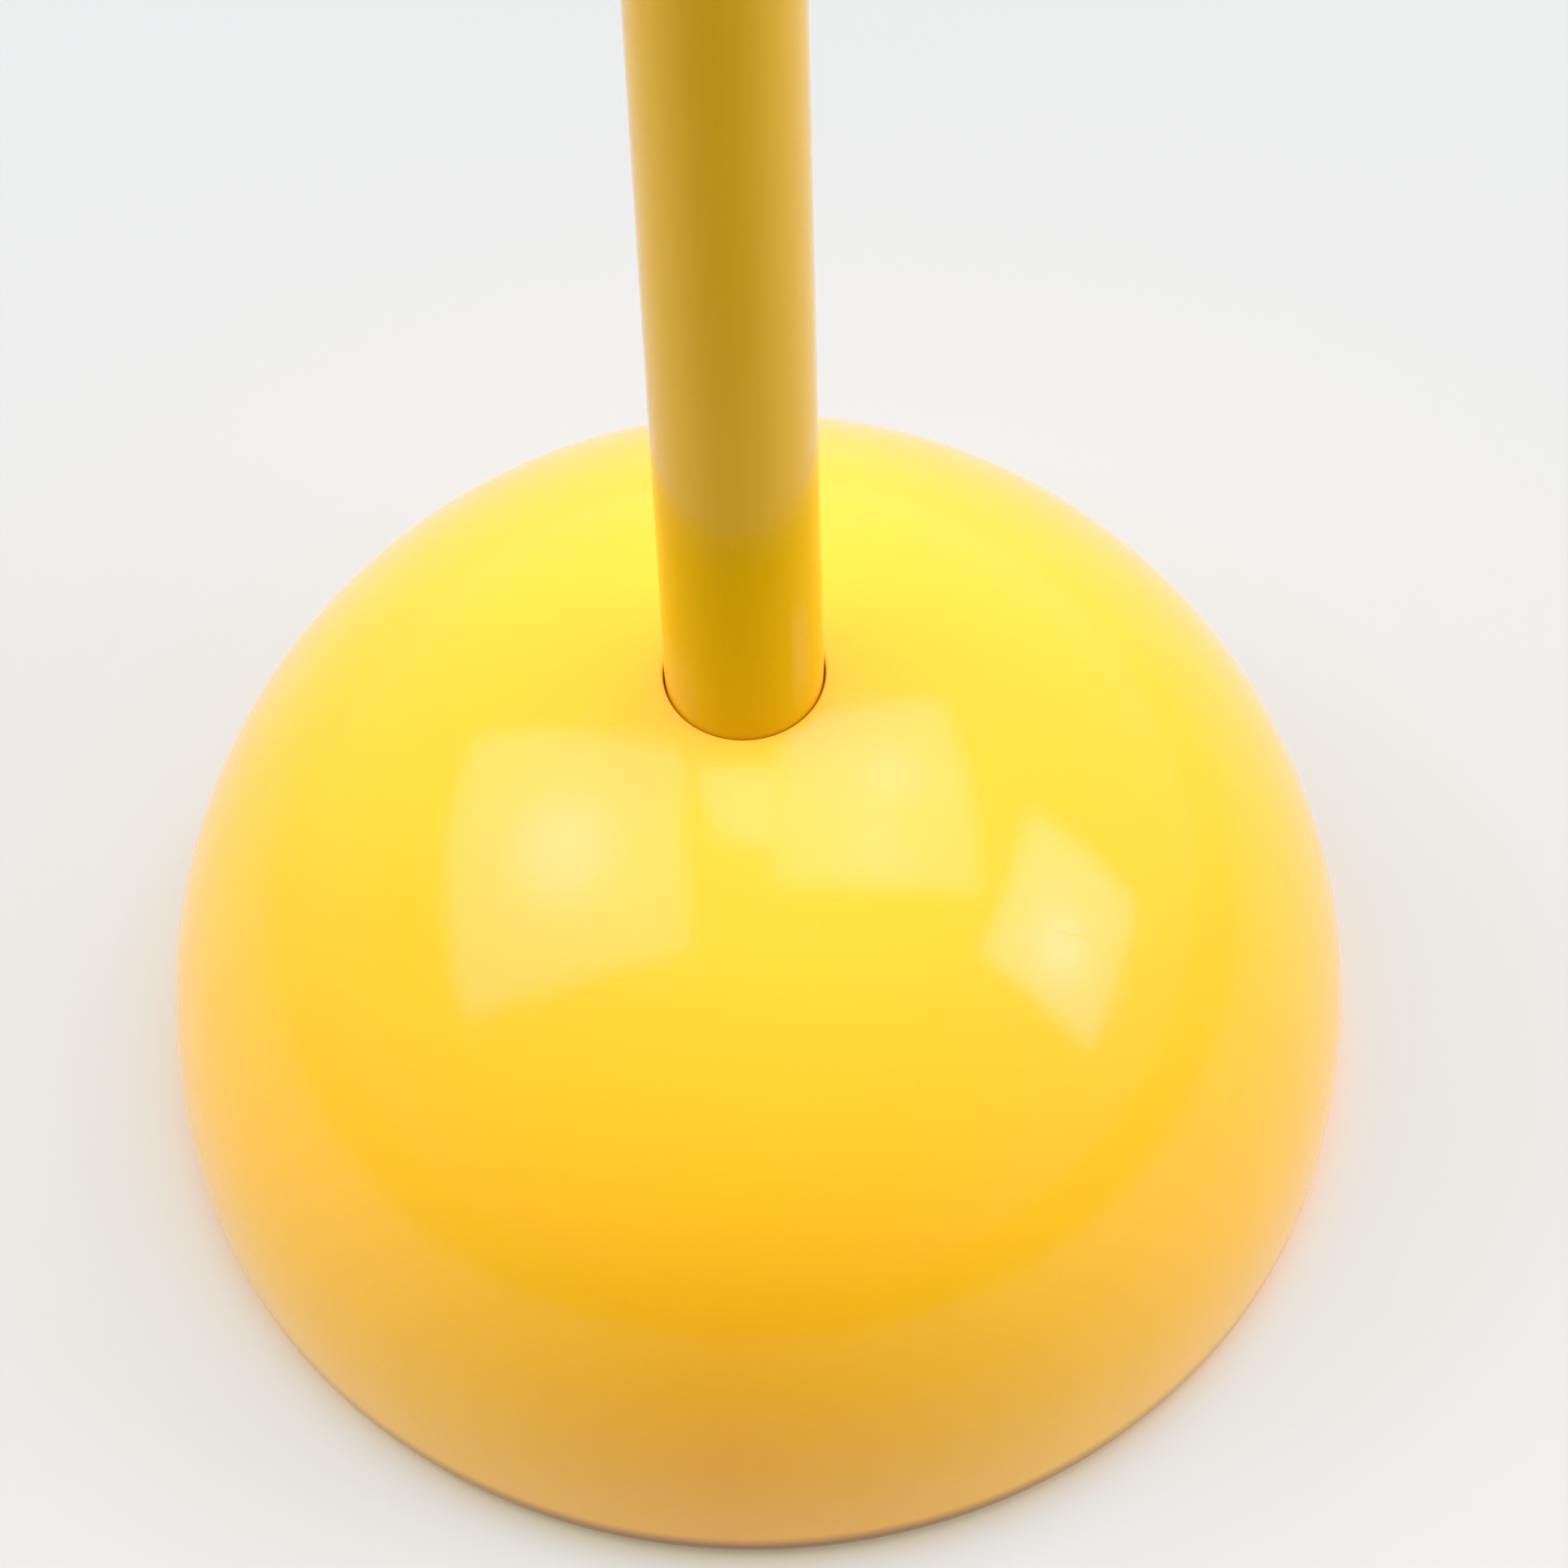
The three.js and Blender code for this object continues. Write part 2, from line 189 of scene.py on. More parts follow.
def lathe_mesh(profile, segments, at=(0.0, 0.0)):
    """Revolves a profile in millimetres round a vertical axis. The profile is closed, or ends on the axis at both ends."""
    bm = bmesh.new()
    rings = []
    for r, z in profile:
        if r < 1e-6:
            rings.append([bm.verts.new((at[0] * MM, at[1] * MM, z * MM))])
            continue
        ring = []
        for k in range(segments):
            t = 2 * math.pi * k / segments
            ring.append(bm.verts.new(((at[0] + r * math.cos(t)) * MM, (at[1] + r * math.sin(t)) * MM, z * MM)))
        rings.append(ring)
    pairs = list(zip(rings, rings[1:]))
    if profile[0][0] > 1e-6:
        pairs.append((rings[-1], rings[0]))
    for a, b in pairs:
        for k in range(segments):
            j = (k + 1) % segments
            face = [a[k % len(a)], a[j % len(a)], b[j % len(b)], b[k % len(b)]]
            unique = []
            for v in face:
                if v not in unique:
                    unique.append(v)
            if len(unique) > 2:
                bm.faces.new(unique)
    bmesh.ops.recalc_face_normals(bm, faces=bm.faces)
    if bm.calc_volume(signed=True) < 0:
        bmesh.ops.reverse_faces(bm, faces=bm.faces)
    return bm


def finish_mesh(name, bm, sharp=35.0):
    mesh = bpy.data.meshes.new(name)
    bm.to_mesh(mesh)
    bm.free()
    mesh.shade_smooth()
    mesh.set_sharp_from_angle(angle=math.radians(sharp))
    ob = bpy.data.objects.new(name, mesh)
    scene.collection.objects.link(ob)
    return ob


def lathe(name, profile, segments=192, at=(0.0, 0.0), sharp=35.0):
    return finish_mesh(name, lathe_mesh(profile, segments, at), sharp)


def box_mesh(size, centre, turned=0.0, bevel=0.0):
    """A box in millimetres, turned about the vertical axis through the origin, its edges rounded."""
    bm = bmesh.new()
    bmesh.ops.create_cube(bm, size=1.0)
    bmesh.ops.scale(bm, vec=[v * MM for v in size], verts=bm.verts)
    if bevel:
        bmesh.ops.bevel(bm, geom=bm.edges[:], offset=bevel * MM, offset_type="OFFSET", segments=3, profile=0.5, affect="EDGES")
    bmesh.ops.translate(bm, vec=[v * MM for v in centre], verts=bm.verts)
    if turned:
        bmesh.ops.rotate(bm, cent=(0, 0, 0), matrix=Matrix.Rotation(math.radians(turned), 3, "Z"), verts=bm.verts)
    return bm


def helix_mesh(section, radius, pitch, turns, z0, turn0, at=(0.0, 0.0), per_turn=64, around=16, taper=0.0):
    """A right-hand round thread as a closed rod, its two ends drawn in where taper (in turns) is set."""
    bm = bmesh.new()
    steps = int(math.ceil(turns * per_turn))
    rings = []
    for i in range(steps + 1):
        done = turns * i / steps
        t = 2 * math.pi * (turn0 + done)
        near = min(done, turns - done)
        s, r0 = section, radius
        if taper:
            k = min(1.0, near / taper)
            k = math.sin(k * math.pi / 2)
            s = section * (0.25 + 0.75 * k)
            r0 = radius - section * 0.85 * (1 - k)
        radial = Vector((math.cos(t), math.sin(t), 0))
        along = Vector((-math.sin(t) * radius, math.cos(t) * radius, pitch / (2 * math.pi))).normalized()
        up = radial.cross(along)
        up = -up if up.z < 0 else up
        centre = radial * r0 + Vector((at[0], at[1], z0 + pitch * done))
        rings.append(
            [
                bm.verts.new((centre + (radial * math.cos(a) + up * math.sin(a)) * s) * MM)
                for a in (2 * math.pi * k / around for k in range(around))
            ]
        )
    for a, b in zip(rings, rings[1:]):
        for k in range(around):
            j = (k + 1) % around
            bm.faces.new((a[k], a[j], b[j], b[k]))
    bm.faces.new(rings[0])
    bm.faces.new(list(reversed(rings[-1])))
    bmesh.ops.recalc_face_normals(bm, faces=bm.faces)
    if bm.calc_volume(signed=True) < 0:
        bmesh.ops.reverse_faces(bm, faces=bm.faces)
    return bm


def carved(name, start, steps, sharp=35.0):
    """Joins meshes to a first one and cuts others from it, exactly, and drops the leftovers."""
    target = finish_mesh(name, start, sharp)
    tools = []
    for how, bm in steps:
        mesh = bpy.data.meshes.new("tool")
        bm.to_mesh(mesh)
        bm.free()
        tool = bpy.data.objects.new("tool", mesh)
        scene.collection.objects.link(tool)
        tools.append(tool)
        mod = target.modifiers.new(how, "BOOLEAN")
        mod.operation = how
        mod.solver = "MANIFOLD"
        mod.object = tool
    depsgraph = bpy.context.evaluated_depsgraph_get()
    made = bpy.data.meshes.new_from_object(target.evaluated_get(depsgraph))
    target.modifiers.clear()
    target.data = made
    made.name = name
    for tool in tools:
        bpy.data.objects.remove(tool)
    bm = bmesh.new()
    bm.from_mesh(made)
    bmesh.ops.remove_doubles(bm, verts=bm.verts, dist=1e-7)
    bmesh.ops.dissolve_degenerate(bm, edges=bm.edges, dist=1e-7)
    bm.to_mesh(made)
    bm.free()
    made.shade_smooth()
    made.set_sharp_from_angle(angle=math.radians(sharp))
    return target


# ------------------------------------------------------------------ materials
class Nodes:
    """Small helper round a material's node tree."""

    def __init__(self, name):
        self.material = bpy.data.materials.new(name)
        self.material.use_nodes = True
        self.tree = self.material.node_tree
        self.shader = self.tree.nodes["Principled BSDF"]
        self.coord = self.add("ShaderNodeTexCoord")

    def add(self, kind, inputs=None, **props):
        node = self.tree.nodes.new(kind)
        for k, v in props.items():
            setattr(node, k, v)
        for k, v in (inputs or {}).items():
            node.inputs[k].default_value = v
        return node

    def link(self, a, b):
        self.tree.links.new(a, b)

    def place(self, stretch=None, offset=(0, 0, 0), turned=(0, 0, 0)):
        mapping = self.add("ShaderNodeMapping")
        mapping.inputs["Scale"].default_value = stretch or (1, 1, 1)
        mapping.inputs["Location"].default_value = offset
        mapping.inputs["Rotation"].default_value = turned
        self.link(self.coord.outputs["Object"], mapping.inputs["Vector"])
        return mapping.outputs["Vector"]

    def noise(self, scale, detail=2.0, rough=0.5, stretch=None, offset=(0, 0, 0), turned=(0, 0, 0)):
        tex = self.add("ShaderNodeTexNoise", {"Scale": scale, "Detail": detail, "Roughness": rough})
        self.link(self.place(stretch, offset, turned), tex.inputs["Vector"])
        return tex.outputs["Fac"]

    def cells(self, scale, stretch=None, offset=(0, 0, 0)):
        tex = self.add("ShaderNodeTexVoronoi", {"Scale": scale}, feature="F1")
        self.link(self.place(stretch, offset), tex.inputs["Vector"])
        return tex.outputs["Distance"]

    def ramp(self, value, low, high, out_low=0.0, out_high=1.0):
        node = self.add(
            "ShaderNodeMapRange",
            {"From Min": low, "From Max": high, "To Min": out_low, "To Max": out_high},
            clamp=True,
        )
        self.link(value, node.inputs["Value"])
        return node.outputs["Result"]

    def maths(self, op, a, b=0.0):
        node = self.add("ShaderNodeMath", operation=op)
        for i, v in enumerate((a, b)):
            if isinstance(v, (int, float)):
                node.inputs[i].default_value = v
            else:
                self.link(v, node.inputs[i])
        return node.outputs[0]

    def mix(self, factor, a, b):
        node = self.add("ShaderNodeMix", data_type="RGBA")
        for socket, v in ((node.inputs[0], factor), (node.inputs[6], a), (node.inputs[7], b)):
            if isinstance(v, (int, float)):
                socket.default_value = v
            elif isinstance(v, tuple):
                socket.default_value = v
            else:
                self.link(v, socket)
        return node.outputs[2]

    def bump(self, height, distance, strength=1.0, normal=None):
        node = self.add("ShaderNodeBump", {"Distance": distance, "Strength": strength})
        self.link(height, node.inputs["Height"])
        if normal is not None:
            self.link(normal, node.inputs["Normal"])
        return node.outputs["Normal"]


def plastic(name, colour, deep, roughness, peel, scuffs, specular=0.5, tint=(1, 1, 1, 1), drawn=None, painted_shade=False):
    """Moulded gloss plastic: slightly uneven colour, orange peel, hairline scuffs and rubbed spots that break the
    gloss. Where asked, shade is also painted low down at the front and round the foot of the rim.
    """
    m = Nodes(name)
    s = m.shader
    clouds = m.ramp(m.noise(11.0, 3.0, 0.55), 0.36, 0.64)
    colour_out = m.mix(clouds, colour, deep)
    # pinhead specks of pigment, a shade deeper
    specks = m.ramp(m.cells(260.0, offset=(0.3, 0.7, 0.1)), 0.05, 0.09, 0.35, 0.0)
    colour_out = m.mix(specks, colour_out, tuple(c * 0.9 for c in deep[:3]) + (1,))
    if painted_shade:
        split = m.add("ShaderNodeSeparateXYZ")
        m.link(m.coord.outputs["Object"], split.inputs[0])
        # painted shade: low down at the front, where less light falls, the colour is a shade deeper
        painted_front_shade = m.ramp(m.maths("ABSOLUTE", m.maths("ADD", split.outputs["X"], 0.006)), 0.0, 0.05, 1.0, 0.0)
        painted_front_shade = m.maths("MULTIPLY", painted_front_shade, m.ramp(split.outputs["Y"], -0.02, -0.06))
        painted_front_shade = m.maths("MULTIPLY", painted_front_shade, m.ramp(split.outputs["Z"], 0.086, 0.062))
        colour_out = m.mix(painted_front_shade, colour_out, (0.92, 0.455, 0.002, 1))
        # painted shade: a contact shadow darkens the lowest few millimetres, most of it in front
        low = m.ramp(split.outputs["Z"], 0.0058, 0.0094, 1.0, 0.0)
        painted_rim_shade = m.ramp(m.maths("DIVIDE", split.outputs["Y"], BALL_R * MM), -0.45, -0.98, 0.17, 0.80)
        colour_out = m.mix(m.maths("MULTIPLY", low, painted_rim_shade), colour_out, (0.10, 0.03, 0.002, 1))
    m.link(colour_out, s.inputs["Base Color"])
    wear = m.noise(42.0, 4.0, 0.6, offset=(3.1, 1.7, 0.4))
    rough = m.ramp(wear, 0.3, 0.75, roughness * 0.92, roughness * 1.15)
    hair = None
    for k, (turned, stretch) in enumerate((((0.3, 0.5, 0.2), (1.0, 0.05, 0.3)), ((1.1, 0.2, 1.9), (0.05, 1.0, 0.4)))):
        lines = m.ramp(m.noise(620.0, 1.0, 0.4, stretch=stretch, offset=(0.7 + k, 0.2, 0.9), turned=turned), 0.66, 0.72)
        patch = m.ramp(m.noise(24.0, 2.0, 0.5, offset=(5.0 + 3 * k, 0.4, 2.0)), 0.5, 0.66)
        lines = m.maths("MULTIPLY", lines, patch)
        hair = lines if hair is None else m.maths("MAXIMUM", hair, lines)
    rough = m.maths("ADD", rough, m.maths("MULTIPLY", hair, scuffs))
    m.link(rough, s.inputs["Roughness"])
    swell = m.noise(150.0, 1.5, 0.4, stretch=drawn)
    grain = m.noise(1700.0, 2.0, 0.5, stretch=drawn)
    normal = m.bump(swell, peel, 1.0)
    normal = m.bump(grain, 0.0000008, 1.0, normal)
    m.link(normal, s.inputs["Normal"])
    s.inputs["IOR"].default_value = 1.5
    s.inputs["Specular IOR Level"].default_value = specular
    s.inputs["Specular Tint"].default_value = tint
    return m.material


def dull(name, colour, deep, roughness, grain_scale, grain_depth, dust=None):
    """Matt moulded plastic or rubber with an even fine grain, paler where it is rubbed."""
    m = Nodes(name)
    s = m.shader
    shade = m.mix(m.ramp(m.noise(40.0, 3.0), 0.35, 0.65), colour, deep)
    if dust:
        shade = m.mix(m.ramp(m.noise(75.0, 5.0, 0.7, offset=(2.0, 5.0, 1.0)), 0.52, 0.78, 0.0, 0.35), shade, dust)
    m.link(shade, s.inputs["Base Color"])
    m.link(m.ramp(m.noise(160.0, 4.0, 0.6), 0.3, 0.7, roughness * 0.88, roughness * 1.1), s.inputs["Roughness"])
    normal = m.bump(m.noise(grain_scale, 3.0, 0.6), grain_depth, 1.0)
    m.link(normal, s.inputs["Normal"])
    return m.material


SPEC_TINT = (1.0, 0.42, 1.0, 1)
base_yellow = plastic("base_yellow", (0.93, 0.512, 0.003, 1), (0.915, 0.497, 0.002, 1), 0.13, 0.000006, 0.10, 0.61, SPEC_TINT, painted_shade=True)
pole_yellow = plastic(
    "pole_yellow", (0.80, 0.449, 0.001, 1), (0.78, 0.436, 0.001, 1), 0.085, 0.000004, 0.08, 0.24, (0.32, 1.0, 0.48, 1), drawn=(1.0, 1.0, 0.06)
)
pan_yellow = dull("pan_yellow", (0.86, 0.42, 0.006, 1), (0.82, 0.39, 0.005, 1), 0.42, 1300.0, 0.000012)
socket_black = dull("socket_black", (0.03, 0.03, 0.033, 1), (0.045, 0.045, 0.048, 1), 0.45, 900.0, 0.00001)
plug_black = dull("plug_black", (0.022, 0.022, 0.024, 1), (0.034, 0.034, 0.036, 1), 0.42, 1100.0, 0.00001, (0.12, 0.11, 0.10, 1))
rubber_black = dull("rubber_black", (0.012, 0.012, 0.013, 1), (0.03, 0.03, 0.03, 1), 0.82, 1400.0, 0.00003, (0.10, 0.095, 0.085, 1))
sand_grain = dull("sand_grain", (0.56, 0.39, 0.17, 1), (0.30, 0.20, 0.09, 1), 0.95, 2600.0, 0.0003, (0.66, 0.55, 0.40, 1))


def fit(ob, material, body, *replaced, slot=None):
    ob.data.materials.clear()
    ob.data.materials.append(material)
    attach(ob, body)
    if replaced:
        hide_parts(*replaced)
    return ob


# ------------------------------------------------------------------ the base's shell
def dome_profile():
    lip_r = HOLE_R + LIP_R
    lip_z = BALL_Z + math.sqrt((BALL_R - LIP_R) ** 2 - lip_r**2)
    lip_angle = math.degrees(math.atan2(lip_z - BALL_Z, lip_r))
    edge_z = RIM_Z + RIM_EDGE
    edge_r = math.sqrt((BALL_R - RIM_EDGE) ** 2 - (edge_z - BALL_Z) ** 2)
    edge_angle = math.degrees(math.atan2(edge_z - BALL_Z, edge_r))
    inner = BALL_R - WALL
    neck_angle = math.degrees(math.acos(NECK_R / inner))
    inward_angle = math.degrees(math.asin((17 - BALL_Z) / inner))
    return (
        arc(lip_r, lip_z, LIP_R, 180, lip_angle, 10)
        + arc(0, BALL_Z, BALL_R, lip_angle, edge_angle, 90)[1:]
        + arc(edge_r, edge_z, RIM_EDGE, edge_angle, -90, 12)[1:]
        + [(PAN_SEAT_R + 0.3, RIM_Z), (PAN_SEAT_R, RIM_Z + 0.3), (PAN_SEAT_R, LEDGE_Z), (LEDGE_R, LEDGE_Z), (LEDGE_R, 12)]
        + arc(0, BALL_Z, inner, inward_angle, neck_angle, 40)
        + [(NECK_R, NECK_END_Z), (NECK_SEAT_R, NECK_END_Z), (NECK_SEAT_R, NECK_SHOULDER_Z), (HOLE_R, NECK_SHOULDER_Z)]
    )


fit(lathe("base_dome", dome_profile(), 256), base_yellow, "base", "dome_shell", slot="base_yellow")

# ------------------------------------------------------------------ the pan under the shell
plate = lathe_mesh(
    [
        (0, PAN_TOP - PAN_PLATE),
        (PAN_RIM_R - 1.2, PAN_TOP - PAN_PLATE),
    ]
    + arc(PAN_RIM_R - 1.2, PAN_TOP - PAN_PLATE - 1.2, 1.2, 90, 0, 5)[1:]
    + [
        (PAN_RIM_R, PAN_EDGE_Z + 0.4),
        (PAN_RIM_R + 0.4, PAN_EDGE_Z),
    ]
    + arc(PAN_R - 0.6, PAN_EDGE_Z + 0.6, 0.6, -90, 0, 4)
    + [
        (PAN_R, PAN_TOP),
        (SOCKET_R + GAP + 3, PAN_TOP),
        (SOCKET_R + GAP + 3, BOSS_TOP - 0.4),
        (SOCKET_R + GAP + 2.6, BOSS_TOP),
        (SOCKET_R + GAP + 0.5, BOSS_TOP),
        (SOCKET_R + GAP, BOSS_TOP - 0.5),
        (SOCKET_R + GAP, PAN_TOP),
        (0, PAN_TOP),
    ],
    192,
)
RIB_TOP = PAN_TOP - 1
pan_steps = []
for i in range(RIBS):
    pan_steps.append(
        (
            "UNION",
            box_mesh(
                (PAN_RIM_R - 12, RIB_T, RIB_TOP - RIB_Z),
                ((PAN_RIM_R + 15) / 2, 0, (RIB_TOP + RIB_Z) / 2),
                22.5 + 360 / RIBS * i,
                0.35,
            ),
        )
    )
for ring in (17, 58):
    pan_steps.append(
        (
            "UNION",
            lathe_mesh(
                rounded(
                    [
                        (ring - RIB_T / 2, RIB_Z + 0.06),
                        (ring + RIB_T / 2, RIB_Z + 0.06),
                        (ring + RIB_T / 2, RIB_TOP - 0.2),
                        (ring - RIB_T / 2, RIB_TOP - 0.2),
                    ],
                    {0: 0.35, 1: 0.35},
                ),
                144,
            ),
        )
    )
for deg in FOOT_ANGLES:
    pan_steps.append(
        (
            "UNION",
            lathe_mesh(
                [(0, RIB_Z - 0.04), (FOOT_BOSS_R - 0.5, RIB_Z - 0.04)]
                + arc(FOOT_BOSS_R - 0.5, RIB_Z + 0.46, 0.5, -90, 0, 4)[1:]
                + [(FOOT_BOSS_R, RIB_TOP - 0.4), (0, RIB_TOP - 0.4)],
                64,
                at_angle(deg, FOOT_RING),
            ),
        )
    )
pan_steps += [
    (
        "UNION",
        lathe_mesh(
            [(0, RIB_Z - 0.08), (FILL_RING_R - 0.6, RIB_Z - 0.08)]
            + arc(FILL_RING_R - 0.6, RIB_Z + 0.52, 0.6, -90, 0, 4)[1:]
            + [(FILL_RING_R, FILL_RING_TOP), (0, FILL_RING_TOP)],
            96,
            (0, FILL_Y),
        ),
    ),
    ("UNION", lathe_mesh([(0, RIB_Z + 1), (FILL_NECK_R, RIB_Z + 1), (FILL_NECK_R, FILL_NECK_TOP), (0, FILL_NECK_TOP)], 96, (0, FILL_Y))),
]
for deg in FOOT_ANGLES:
    pan_steps.append(
        (
            "DIFFERENCE",
            lathe_mesh([(0, 0), (FOOT_SEAT_R, 0), (FOOT_SEAT_R, FOOT_H + GAP), (0, FOOT_H + GAP)], 64, at_angle(deg, FOOT_RING)),
        )
    )
groove_z = THREAD_Z - THREAD_PITCH
pan_steps += [
    ("DIFFERENCE", lathe_mesh([(0, 1), (FILL_SEAT_R, 1), (FILL_SEAT_R, FILL_SEAT_Z), (0, FILL_SEAT_Z)], 96, (0, FILL_Y))),
    ("DIFFERENCE", lathe_mesh([(0, 1.6), (FILL_BORE, 1.6), (FILL_BORE, FILL_NECK_TOP + 4), (0, FILL_NECK_TOP + 4)], 96, (0, FILL_Y))),
    (
        "DIFFERENCE",
        helix_mesh(
            THREAD_ROUND + THREAD_CLEAR, THREAD_R, THREAD_PITCH, (FILL_NECK_TOP + 3 - groove_z) / THREAD_PITCH, groove_z, -1, (0, FILL_Y)
        ),
    ),
]
fit(carved("underside_pan", plate, pan_steps, 40.0), pan_yellow, "base", "base_pan", slot="pan_yellow")

# ------------------------------------------------------------------ socket tube and feet
fit(
    lathe(
        "socket_liner",
        rounded(
            [
                (0, SOCKET_Z),
                (SOCKET_R, SOCKET_Z),
                (SOCKET_R, NECK_SHOULDER_Z - GAP),
                (SOCKET_BORE, NECK_SHOULDER_Z - GAP),
                (SOCKET_BORE, SOCKET_Z + SOCKET_FLOOR),
                (0, SOCKET_Z + SOCKET_FLOOR),
            ],
            {1: 1.0, 2: 0.3, 3: 0.8, 4: 0.6},
        ),
        96,
    ),
    socket_black,
    "base",
    "socket_tube",
    slot="socket_plastic",
)

for i, deg in enumerate(FOOT_ANGLES):
    # a pad with two rings moulded into its sole
    fit(
        lathe(
            f"foot_{i + 1}",
            [(0, 0), (3.2, 0), (3.5, 0.45), (4.1, 0.45), (4.4, 0), (6.9, 0), (7.2, 0.45), (7.8, 0.45), (8.1, 0), (FOOT_R - 0.7, 0)]
            + arc(FOOT_R - 0.7, 0.7, 0.7, -90, 0, 5)[1:]
            + [(FOOT_R, FOOT_H - 0.3), (FOOT_R - 0.3, FOOT_H), (0, FOOT_H)],
            72,
            at_angle(deg, FOOT_RING),
        ),
        rubber_black,
        "base",
        f"foot_pad_{i + 1}",
        slot="foot_rubber",
    )

# ------------------------------------------------------------------ the filler plug and its gasket
head_top = CAP_HEAD_Z + CAP_HEAD_T
cup = lathe_mesh(
    rounded(
        [
            (0, CAP_TOP - 2.4),
            (CAP_BORE, CAP_TOP - 2.4),
            (CAP_BORE, CAP_HEAD_Z),
            (CAP_HEAD_R, CAP_HEAD_Z),
            (CAP_HEAD_R, head_top),
            (CAP_BODY_R, head_top),
            (CAP_BODY_R, CAP_TOP),
            (0, CAP_TOP),
        ],
        {1: 0.5, 2: 0.8, 3: 0.9, 4: 0.3, 6: 0.8},
    ),
    96,
    (0, FILL_Y),
)
fit(
    carved(
        "filler_plug",
        cup,
        [
            (
                "UNION",
                box_mesh(
                    (2 * CAP_BORE + 1, 4, CAP_TOP - 1 - (CAP_HEAD_Z + 1.2)), (0, FILL_Y, (CAP_TOP - 1 + CAP_HEAD_Z + 1.2) / 2), 0.0, 0.7
                ),
            ),
            ("UNION", helix_mesh(THREAD_ROUND, THREAD_R, THREAD_PITCH, THREAD_TURNS, THREAD_Z, 0, (0, FILL_Y), taper=0.12)),
        ],
        40.0,
    ),
    plug_black,
    "plug",
    "filler_cap",
    slot="plug_plastic",
)
fit(
    lathe(
        "filler_seal",
        rounded(
            [(GASKET_BORE, GASKET_Z), (GASKET_R, GASKET_Z), (GASKET_R, GASKET_Z + GASKET_T), (GASKET_BORE, GASKET_Z + GASKET_T)],
            {0: 0.3, 1: 0.5, 2: 0.5, 3: 0.3},
        ),
        96,
        (0, FILL_Y),
    ),
    rubber_black,
    "plug_seal",
    "filler_gasket",
    slot="gasket_rubber",
)

# ------------------------------------------------------------------ the pole
fit(
    lathe(
        "pole",
        rounded(
            [
                (POLE_R - POLE_WALL, POLE_Z),
                (POLE_R, POLE_Z),
                (POLE_R, POLE_Z + POLE_LENGTH),
                (POLE_R - POLE_WALL, POLE_Z + POLE_LENGTH),
            ],
            {0: 0.25, 1: 0.4, 2: 0.35, 3: 0.25},
        ),
        144,
    ),
    pole_yellow,
    "pole",
    "pole_tube",
    slot="pole_yellow",
)
fit(
    lathe(
        "pole_foot",
        rounded(
            [
                (0, PLUG_Z),
                (POLE_R, PLUG_Z),
                (POLE_R, PLUG_Z + PLUG_FLANGE),
                (SPIGOT_R, PLUG_Z + PLUG_FLANGE),
                (SPIGOT_R, PLUG_Z + PLUG_FLANGE + SPIGOT_L),
                (SPIGOT_R - SPIGOT_WALL, PLUG_Z + PLUG_FLANGE + SPIGOT_L),
                (SPIGOT_R - SPIGOT_WALL, PLUG_Z + PLUG_FLANGE),
                (0, PLUG_Z + PLUG_FLANGE),
            ],
            {1: 1.2, 2: 0.3, 4: 0.8, 5: 0.3},
        ),
        96,
    ),
    plug_black,
    "pole_foot",
    "pole_foot_plug",
    slot="plug_plastic",
)
edge = TOP_FLANGE * 0.8
fit(
    lathe(
        "pole_cap",
        [
            (0, TOP_Z),
            (SPIGOT_R - SPIGOT_WALL, TOP_Z),
            (SPIGOT_R - SPIGOT_WALL, TOP_Z - SPIGOT_L),
            (SPIGOT_R - 0.8, TOP_Z - SPIGOT_L),
            (SPIGOT_R, TOP_Z - SPIGOT_L + 1.5),
            (SPIGOT_R, TOP_Z),
            (POLE_R - 0.25, TOP_Z),
            (POLE_R, TOP_Z + 0.25),
        ]
        + arc(POLE_R - edge, TOP_Z + TOP_FLANGE * 0.2, edge, 0, 90, 12)
        + [(0, TOP_Z + TOP_FLANGE)],
        144,
    ),
    pole_yellow,
    "pole",
    "pole_top_cap",
    slot="pole_yellow",
)

# the photograph shows no image of the pole in the dome's gloss
for piece in ("pole", "pole_foot", "pole_cap"):
    bpy.data.objects[piece].visible_glossy = False

# the filling keeps its CAD shape: it is closed in by the shell and the pan
nodes["sand_ballast"].data.materials.clear()
nodes["sand_ballast"].data.materials.append(sand_grain)


# ------------------------------------------------------------------ floor
def stage_mesh(name, bm, material):
    ob = finish_mesh(name, bm)
    ob.data.materials.append(material)
    return ob


FLOOR = 0.408
# The floor glows a little of its own, a painted light that keeps the base's shadow faint. Round the base
# the glow turns warmer, a painted bounce of the base's colour, and under the rim it ends, so the shadow there stays
# dark.
FLOOR_GLOW = 0.172
GLOW_FROM = (0.094, 0.0975)
# the halo is painted bounce light of the base's colour
HALO = (  # for red, green and blue: a narrow and a wide halo, each as its strength and its lean to +x and +y
    ((0.210, 0.066, 0.249), (0.092, -0.004, -0.095)),
    ((-0.081, 0.011, 0.053), (0.126, 0.019, -0.099)),
    ((-0.201, -0.014, 0.076), (0.101, 0.047, -0.153)),
)
HALO_REACH = (0.004, 0.014)
